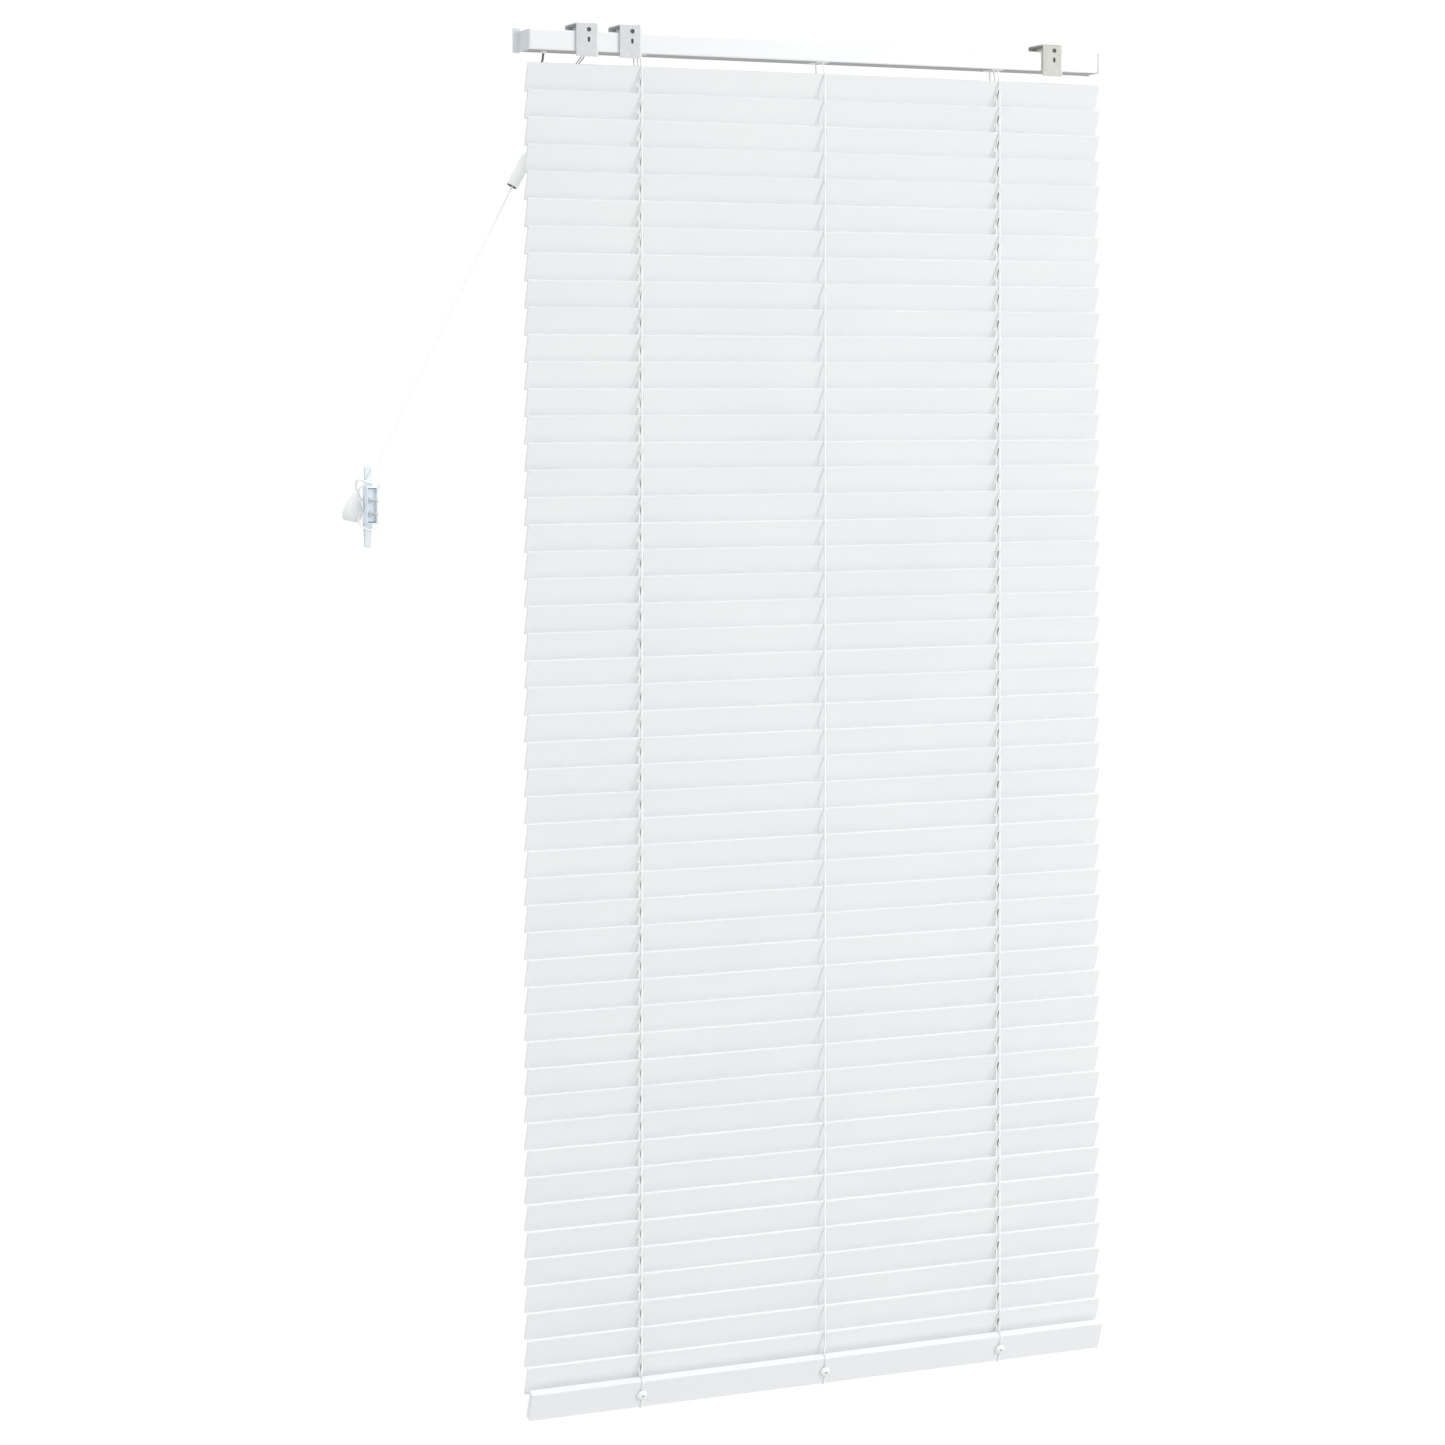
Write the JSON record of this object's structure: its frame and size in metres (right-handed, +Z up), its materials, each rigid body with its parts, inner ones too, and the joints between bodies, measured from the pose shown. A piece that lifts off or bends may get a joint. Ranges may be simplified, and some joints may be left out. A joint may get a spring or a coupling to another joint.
{
  "type": "venetian blind",
  "caption": "Window blind of flat white slats on ladder cords under a steel headrail, with tilt wand, pull cord and wall cleat.",
  "frame": {"origin": "window side of the fixing brackets, half way along the blind, level with the brackets' tops", "axes": "+X along the slats, +Y from the window into the room, +Z up"},
  "size_m": [0.9684, 0.0798, 1.6128],
  "materials": {
    "slat": "white painted, satin",
    "rail": "white painted, satin",
    "headrail": "white stove enamel, satin",
    "bracket": "zinc plated",
    "tilt_rod": "zinc plated",
    "wand": "white",
    "ladder": "white braided polyester",
    "lift_cord": "white braided polyester",
    "pull_cord": "white braided polyester",
    "cleat": "moulded, satin"
  },
  "bodies": {
    "frame": {"headrail": "headrail", "bracket_left": "bracket", "bracket_right": "bracket", "pull_cord": "pull_cord", "cord_cleat": "cleat"},
    "rod": {"tilt_rod": "tilt_rod"},
    "wand": {"tilt_wand": "wand"},
    "rail": {"bottom_rail": "rail"},
    "rear_strings": {"ladder_cord_rear": "ladder"},
    "front_strings": {"ladder_cord_front": "ladder"},
    "lift_cords": {"lift_cord": "lift_cord"},
    "slat_01": {"slat_01": "slat"},
    "slat_02": {"slat_02": "slat"},
    "slat_03": {"slat_03": "slat"},
    "slat_04": {"slat_04": "slat"},
    "slat_05": {"slat_05": "slat"},
    "slat_06": {"slat_06": "slat"},
    "slat_07": {"slat_07": "slat"},
    "slat_08": {"slat_08": "slat"},
    "slat_09": {"slat_09": "slat"},
    "slat_10": {"slat_10": "slat"},
    "slat_11": {"slat_11": "slat"},
    "slat_12": {"slat_12": "slat"},
    "slat_13": {"slat_13": "slat"},
    "slat_14": {"slat_14": "slat"},
    "slat_15": {"slat_15": "slat"},
    "slat_16": {"slat_16": "slat"},
    "slat_17": {"slat_17": "slat"},
    "slat_18": {"slat_18": "slat"},
    "slat_19": {"slat_19": "slat"},
    "slat_20": {"slat_20": "slat"},
    "slat_21": {"slat_21": "slat"},
    "slat_22": {"slat_22": "slat"},
    "slat_23": {"slat_23": "slat"},
    "slat_24": {"slat_24": "slat"},
    "slat_25": {"slat_25": "slat"},
    "slat_26": {"slat_26": "slat"},
    "slat_27": {"slat_27": "slat"},
    "slat_28": {"slat_28": "slat"},
    "slat_29": {"slat_29": "slat"},
    "slat_30": {"slat_30": "slat"},
    "slat_31": {"slat_31": "slat"},
    "slat_32": {"slat_32": "slat"},
    "slat_33": {"slat_33": "slat"},
    "slat_34": {"slat_34": "slat"},
    "slat_35": {"slat_35": "slat"},
    "slat_36": {"slat_36": "slat"},
    "slat_37": {"slat_37": "slat"},
    "slat_38": {"slat_38": "slat"},
    "slat_39": {"slat_39": "slat"},
    "slat_40": {"slat_40": "slat"},
    "slat_41": {"slat_41": "slat"},
    "slat_42": {"slat_42": "slat"},
    "slat_43": {"slat_43": "slat"},
    "slat_44": {"slat_44": "slat"},
    "slat_45": {"slat_45": "slat"},
    "slat_46": {"slat_46": "slat"},
    "slat_47": {"slat_47": "slat"},
    "slat_48": {"slat_48": "slat"},
    "slat_49": {"slat_49": "slat"}
  },
  "joints": [
    {"name": "tilt", "type": "hinge", "parent": "frame", "child": "rod", "pos_m": [0, 0.021, -0.02], "axis": [1, 0, 0], "range_deg": [0, 272]},
    {"name": "slat_01_tilt", "type": "hinge", "parent": "frame", "child": "slat_01", "pos_m": [0, 0.021, -0.0601], "axis": [1, 0, 0], "range_deg": [-0.5, 136.5]},
    {"name": "slat_02_tilt", "type": "hinge", "parent": "frame", "child": "slat_02", "pos_m": [0, 0.021, -0.0914], "axis": [1, 0, 0], "range_deg": [-0.5, 136.5]},
    {"name": "slat_03_tilt", "type": "hinge", "parent": "frame", "child": "slat_03", "pos_m": [0, 0.021, -0.1227], "axis": [1, 0, 0], "range_deg": [-0.5, 136.5]},
    {"name": "slat_04_tilt", "type": "hinge", "parent": "frame", "child": "slat_04", "pos_m": [0, 0.021, -0.154], "axis": [1, 0, 0], "range_deg": [-0.5, 136.5]},
    {"name": "slat_05_tilt", "type": "hinge", "parent": "frame", "child": "slat_05", "pos_m": [0, 0.021, -0.1853], "axis": [1, 0, 0], "range_deg": [-0.5, 136.5]},
    {"name": "slat_06_tilt", "type": "hinge", "parent": "frame", "child": "slat_06", "pos_m": [0, 0.021, -0.2166], "axis": [1, 0, 0], "range_deg": [-0.5, 136.5]},
    {"name": "slat_07_tilt", "type": "hinge", "parent": "frame", "child": "slat_07", "pos_m": [0, 0.021, -0.2479], "axis": [1, 0, 0], "range_deg": [-0.5, 136.5]},
    {"name": "slat_08_tilt", "type": "hinge", "parent": "frame", "child": "slat_08", "pos_m": [0, 0.021, -0.2792], "axis": [1, 0, 0], "range_deg": [-0.5, 136.5]},
    {"name": "slat_09_tilt", "type": "hinge", "parent": "frame", "child": "slat_09", "pos_m": [0, 0.021, -0.3105], "axis": [1, 0, 0], "range_deg": [-0.5, 136.5]},
    {"name": "slat_10_tilt", "type": "hinge", "parent": "frame", "child": "slat_10", "pos_m": [0, 0.021, -0.3418], "axis": [1, 0, 0], "range_deg": [-0.5, 136.5]},
    {"name": "slat_11_tilt", "type": "hinge", "parent": "frame", "child": "slat_11", "pos_m": [0, 0.021, -0.3731], "axis": [1, 0, 0], "range_deg": [-0.5, 136.5]},
    {"name": "slat_12_tilt", "type": "hinge", "parent": "frame", "child": "slat_12", "pos_m": [0, 0.021, -0.4044], "axis": [1, 0, 0], "range_deg": [-0.5, 136.5]},
    {"name": "slat_13_tilt", "type": "hinge", "parent": "frame", "child": "slat_13", "pos_m": [0, 0.021, -0.4357], "axis": [1, 0, 0], "range_deg": [-0.5, 136.5]},
    {"name": "slat_14_tilt", "type": "hinge", "parent": "frame", "child": "slat_14", "pos_m": [0, 0.021, -0.467], "axis": [1, 0, 0], "range_deg": [-0.5, 136.5]},
    {"name": "slat_15_tilt", "type": "hinge", "parent": "frame", "child": "slat_15", "pos_m": [0, 0.021, -0.4983], "axis": [1, 0, 0], "range_deg": [-0.5, 136.5]},
    {"name": "slat_16_tilt", "type": "hinge", "parent": "frame", "child": "slat_16", "pos_m": [0, 0.021, -0.5296], "axis": [1, 0, 0], "range_deg": [-0.5, 136.5]},
    {"name": "slat_17_tilt", "type": "hinge", "parent": "frame", "child": "slat_17", "pos_m": [0, 0.021, -0.5609], "axis": [1, 0, 0], "range_deg": [-0.5, 136.5]},
    {"name": "slat_18_tilt", "type": "hinge", "parent": "frame", "child": "slat_18", "pos_m": [0, 0.021, -0.5922], "axis": [1, 0, 0], "range_deg": [-0.5, 136.5]},
    {"name": "slat_19_tilt", "type": "hinge", "parent": "frame", "child": "slat_19", "pos_m": [0, 0.021, -0.6235], "axis": [1, 0, 0], "range_deg": [-0.5, 136.5]},
    {"name": "slat_20_tilt", "type": "hinge", "parent": "frame", "child": "slat_20", "pos_m": [0, 0.021, -0.6548], "axis": [1, 0, 0], "range_deg": [-0.5, 136.5]},
    {"name": "slat_21_tilt", "type": "hinge", "parent": "frame", "child": "slat_21", "pos_m": [0, 0.021, -0.6861], "axis": [1, 0, 0], "range_deg": [-0.5, 136.5]},
    {"name": "slat_22_tilt", "type": "hinge", "parent": "frame", "child": "slat_22", "pos_m": [0, 0.021, -0.7174], "axis": [1, 0, 0], "range_deg": [-0.5, 136.5]},
    {"name": "slat_23_tilt", "type": "hinge", "parent": "frame", "child": "slat_23", "pos_m": [0, 0.021, -0.7487], "axis": [1, 0, 0], "range_deg": [-0.5, 136.5]},
    {"name": "slat_24_tilt", "type": "hinge", "parent": "frame", "child": "slat_24", "pos_m": [0, 0.021, -0.78], "axis": [1, 0, 0], "range_deg": [-0.5, 136.5]},
    {"name": "slat_25_tilt", "type": "hinge", "parent": "frame", "child": "slat_25", "pos_m": [0, 0.021, -0.8113], "axis": [1, 0, 0], "range_deg": [-0.5, 136.5]},
    {"name": "slat_26_tilt", "type": "hinge", "parent": "frame", "child": "slat_26", "pos_m": [0, 0.021, -0.8426], "axis": [1, 0, 0], "range_deg": [-0.5, 136.5]},
    {"name": "slat_27_tilt", "type": "hinge", "parent": "frame", "child": "slat_27", "pos_m": [0, 0.021, -0.8739], "axis": [1, 0, 0], "range_deg": [-0.5, 136.5]},
    {"name": "slat_28_tilt", "type": "hinge", "parent": "frame", "child": "slat_28", "pos_m": [0, 0.021, -0.9052], "axis": [1, 0, 0], "range_deg": [-0.5, 136.5]},
    {"name": "slat_29_tilt", "type": "hinge", "parent": "frame", "child": "slat_29", "pos_m": [0, 0.021, -0.9365], "axis": [1, 0, 0], "range_deg": [-0.5, 136.5]},
    {"name": "slat_30_tilt", "type": "hinge", "parent": "frame", "child": "slat_30", "pos_m": [0, 0.021, -0.9678], "axis": [1, 0, 0], "range_deg": [-0.5, 136.5]},
    {"name": "slat_31_tilt", "type": "hinge", "parent": "frame", "child": "slat_31", "pos_m": [0, 0.021, -0.9991], "axis": [1, 0, 0], "range_deg": [-0.5, 136.5]},
    {"name": "slat_32_tilt", "type": "hinge", "parent": "frame", "child": "slat_32", "pos_m": [0, 0.021, -1.0304], "axis": [1, 0, 0], "range_deg": [-0.5, 136.5]},
    {"name": "slat_33_tilt", "type": "hinge", "parent": "frame", "child": "slat_33", "pos_m": [0, 0.021, -1.0617], "axis": [1, 0, 0], "range_deg": [-0.5, 136.5]},
    {"name": "slat_34_tilt", "type": "hinge", "parent": "frame", "child": "slat_34", "pos_m": [0, 0.021, -1.093], "axis": [1, 0, 0], "range_deg": [-0.5, 136.5]},
    {"name": "slat_35_tilt", "type": "hinge", "parent": "frame", "child": "slat_35", "pos_m": [0, 0.021, -1.1243], "axis": [1, 0, 0], "range_deg": [-0.5, 136.5]},
    {"name": "slat_36_tilt", "type": "hinge", "parent": "frame", "child": "slat_36", "pos_m": [0, 0.021, -1.1556], "axis": [1, 0, 0], "range_deg": [-0.5, 136.5]},
    {"name": "slat_37_tilt", "type": "hinge", "parent": "frame", "child": "slat_37", "pos_m": [0, 0.021, -1.1869], "axis": [1, 0, 0], "range_deg": [-0.5, 136.5]},
    {"name": "slat_38_tilt", "type": "hinge", "parent": "frame", "child": "slat_38", "pos_m": [0, 0.021, -1.2182], "axis": [1, 0, 0], "range_deg": [-0.5, 136.5]},
    {"name": "slat_39_tilt", "type": "hinge", "parent": "frame", "child": "slat_39", "pos_m": [0, 0.021, -1.2495], "axis": [1, 0, 0], "range_deg": [-0.5, 136.5]},
    {"name": "slat_40_tilt", "type": "hinge", "parent": "frame", "child": "slat_40", "pos_m": [0, 0.021, -1.2808], "axis": [1, 0, 0], "range_deg": [-0.5, 136.5]},
    {"name": "slat_41_tilt", "type": "hinge", "parent": "frame", "child": "slat_41", "pos_m": [0, 0.021, -1.3121], "axis": [1, 0, 0], "range_deg": [-0.5, 136.5]},
    {"name": "slat_42_tilt", "type": "hinge", "parent": "frame", "child": "slat_42", "pos_m": [0, 0.021, -1.3434], "axis": [1, 0, 0], "range_deg": [-0.5, 136.5]},
    {"name": "slat_43_tilt", "type": "hinge", "parent": "frame", "child": "slat_43", "pos_m": [0, 0.021, -1.3747], "axis": [1, 0, 0], "range_deg": [-0.5, 136.5]},
    {"name": "slat_44_tilt", "type": "hinge", "parent": "frame", "child": "slat_44", "pos_m": [0, 0.021, -1.406], "axis": [1, 0, 0], "range_deg": [-0.5, 136.5]},
    {"name": "slat_45_tilt", "type": "hinge", "parent": "frame", "child": "slat_45", "pos_m": [0, 0.021, -1.4373], "axis": [1, 0, 0], "range_deg": [-0.5, 136.5]},
    {"name": "slat_46_tilt", "type": "hinge", "parent": "frame", "child": "slat_46", "pos_m": [0, 0.021, -1.4686], "axis": [1, 0, 0], "range_deg": [-0.5, 136.5]},
    {"name": "slat_47_tilt", "type": "hinge", "parent": "frame", "child": "slat_47", "pos_m": [0, 0.021, -1.4999], "axis": [1, 0, 0], "range_deg": [-0.5, 136.5]},
    {"name": "slat_48_tilt", "type": "hinge", "parent": "frame", "child": "slat_48", "pos_m": [0, 0.021, -1.5312], "axis": [1, 0, 0], "range_deg": [-0.5, 136.5]},
    {"name": "slat_49_tilt", "type": "hinge", "parent": "frame", "child": "slat_49", "pos_m": [0, 0.021, -1.5625], "axis": [1, 0, 0], "range_deg": [-0.5, 136.5]},
    {"name": "rail_tilt", "type": "hinge", "parent": "frame", "child": "rail", "pos_m": [0, 0.021, -1.5892], "axis": [1, 0, 0], "range_deg": [-0.5, 136.5]},
    {"name": "rear_strings_shift", "type": "hinge", "parent": "slat_25", "child": "rear_strings", "pos_m": [0, 0.00371, -0.79919], "axis": [1, 0, 0], "range_deg": [-136.5, 0.5]},
    {"name": "front_strings_shift", "type": "hinge", "parent": "slat_25", "child": "front_strings", "pos_m": [0, 0.01626, -0.83187], "axis": [1, 0, 0], "range_deg": [-136.5, 0.5]},
    {"name": "lift_cords_shift", "type": "hinge", "parent": "slat_25", "child": "lift_cords", "pos_m": [0, 0.00998, -0.81553], "axis": [1, 0, 0], "range_deg": [-136.5, 0.5]},
    {"name": "wand_spin", "type": "hinge", "parent": "frame", "child": "wand", "pos_m": [-0.344, 0.057, -0.058], "axis": [0, 0, 1], "range_deg": [-2730, 10]}
  ],
  "couplings": [
    {"joint": "slat_01_tilt", "follows": "tilt", "ratio": 0.5},
    {"joint": "slat_02_tilt", "follows": "tilt", "ratio": 0.5},
    {"joint": "slat_03_tilt", "follows": "tilt", "ratio": 0.5},
    {"joint": "slat_04_tilt", "follows": "tilt", "ratio": 0.5},
    {"joint": "slat_05_tilt", "follows": "tilt", "ratio": 0.5},
    {"joint": "slat_06_tilt", "follows": "tilt", "ratio": 0.5},
    {"joint": "slat_07_tilt", "follows": "tilt", "ratio": 0.5},
    {"joint": "slat_08_tilt", "follows": "tilt", "ratio": 0.5},
    {"joint": "slat_09_tilt", "follows": "tilt", "ratio": 0.5},
    {"joint": "slat_10_tilt", "follows": "tilt", "ratio": 0.5},
    {"joint": "slat_11_tilt", "follows": "tilt", "ratio": 0.5},
    {"joint": "slat_12_tilt", "follows": "tilt", "ratio": 0.5},
    {"joint": "slat_13_tilt", "follows": "tilt", "ratio": 0.5},
    {"joint": "slat_14_tilt", "follows": "tilt", "ratio": 0.5},
    {"joint": "slat_15_tilt", "follows": "tilt", "ratio": 0.5},
    {"joint": "slat_16_tilt", "follows": "tilt", "ratio": 0.5},
    {"joint": "slat_17_tilt", "follows": "tilt", "ratio": 0.5},
    {"joint": "slat_18_tilt", "follows": "tilt", "ratio": 0.5},
    {"joint": "slat_19_tilt", "follows": "tilt", "ratio": 0.5},
    {"joint": "slat_20_tilt", "follows": "tilt", "ratio": 0.5},
    {"joint": "slat_21_tilt", "follows": "tilt", "ratio": 0.5},
    {"joint": "slat_22_tilt", "follows": "tilt", "ratio": 0.5},
    {"joint": "slat_23_tilt", "follows": "tilt", "ratio": 0.5},
    {"joint": "slat_24_tilt", "follows": "tilt", "ratio": 0.5},
    {"joint": "slat_25_tilt", "follows": "tilt", "ratio": 0.5},
    {"joint": "slat_26_tilt", "follows": "tilt", "ratio": 0.5},
    {"joint": "slat_27_tilt", "follows": "tilt", "ratio": 0.5},
    {"joint": "slat_28_tilt", "follows": "tilt", "ratio": 0.5},
    {"joint": "slat_29_tilt", "follows": "tilt", "ratio": 0.5},
    {"joint": "slat_30_tilt", "follows": "tilt", "ratio": 0.5},
    {"joint": "slat_31_tilt", "follows": "tilt", "ratio": 0.5},
    {"joint": "slat_32_tilt", "follows": "tilt", "ratio": 0.5},
    {"joint": "slat_33_tilt", "follows": "tilt", "ratio": 0.5},
    {"joint": "slat_34_tilt", "follows": "tilt", "ratio": 0.5},
    {"joint": "slat_35_tilt", "follows": "tilt", "ratio": 0.5},
    {"joint": "slat_36_tilt", "follows": "tilt", "ratio": 0.5},
    {"joint": "slat_37_tilt", "follows": "tilt", "ratio": 0.5},
    {"joint": "slat_38_tilt", "follows": "tilt", "ratio": 0.5},
    {"joint": "slat_39_tilt", "follows": "tilt", "ratio": 0.5},
    {"joint": "slat_40_tilt", "follows": "tilt", "ratio": 0.5},
    {"joint": "slat_41_tilt", "follows": "tilt", "ratio": 0.5},
    {"joint": "slat_42_tilt", "follows": "tilt", "ratio": 0.5},
    {"joint": "slat_43_tilt", "follows": "tilt", "ratio": 0.5},
    {"joint": "slat_44_tilt", "follows": "tilt", "ratio": 0.5},
    {"joint": "slat_45_tilt", "follows": "tilt", "ratio": 0.5},
    {"joint": "slat_46_tilt", "follows": "tilt", "ratio": 0.5},
    {"joint": "slat_47_tilt", "follows": "tilt", "ratio": 0.5},
    {"joint": "slat_48_tilt", "follows": "tilt", "ratio": 0.5},
    {"joint": "slat_49_tilt", "follows": "tilt", "ratio": 0.5},
    {"joint": "rail_tilt", "follows": "tilt", "ratio": 0.5},
    {"joint": "rear_strings_shift", "follows": "tilt", "ratio": -0.5},
    {"joint": "front_strings_shift", "follows": "tilt", "ratio": -0.5},
    {"joint": "lift_cords_shift", "follows": "tilt", "ratio": -0.5},
    {"joint": "wand_spin", "follows": "tilt", "ratio": -10}
  ]
}
